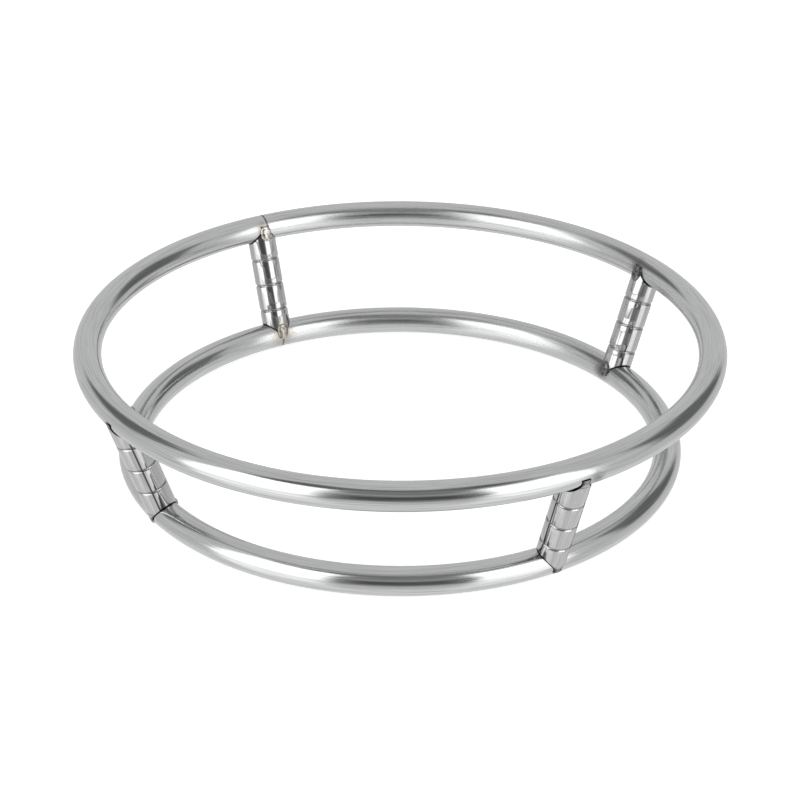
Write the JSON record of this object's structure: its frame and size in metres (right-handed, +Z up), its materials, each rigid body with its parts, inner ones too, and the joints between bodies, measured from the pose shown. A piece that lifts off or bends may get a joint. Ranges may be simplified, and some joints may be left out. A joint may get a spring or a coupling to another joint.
{
  "type": "pot ring",
  "caption": "Round stand of bent tube that seats a round-bottomed pan over a hob: a wide upper hoop and a narrower lower hoop joined by short leaning pillars.",
  "frame": {"origin": "centre of the circle on which the lower hoop stands", "axes": "+Z up through the centres of both hoops; -Y is the front, and the pillars stand near 45, 133, 226 and 314 degrees about +Z, counted from +X"},
  "size_m": [0.26, 0.26, 0.0565],
  "materials": {
    "hoop_steel": "drawn stainless tube with fine lengthwise streaks, bright",
    "pillar_steel": "polished stainless tube",
    "butt_weld": "ground flush, dull grey",
    "weld_bead": "as welded, dull with a faint straw tint"
  },
  "bodies": {
    "root": {"upper_hoop": "hoop_steel", "lower_hoop": "hoop_steel", "pillar_back_right": "pillar_steel", "pillar_back_left": "pillar_steel", "pillar_front_left": "pillar_steel", "pillar_front_right": "pillar_steel", "upper_butt_weld": "butt_weld", "lower_butt_weld": "butt_weld", "bead_top_back_right": "weld_bead", "bead_top_back_left": "weld_bead", "bead_top_front_left": "weld_bead", "bead_top_front_right": "weld_bead", "bead_side_front_right": "weld_bead", "bead_foot_back_right": "weld_bead", "bead_foot_back_left": "weld_bead", "bead_foot_front_left": "weld_bead", "bead_foot_front_right": "weld_bead"}
  },
  "joints": []
}
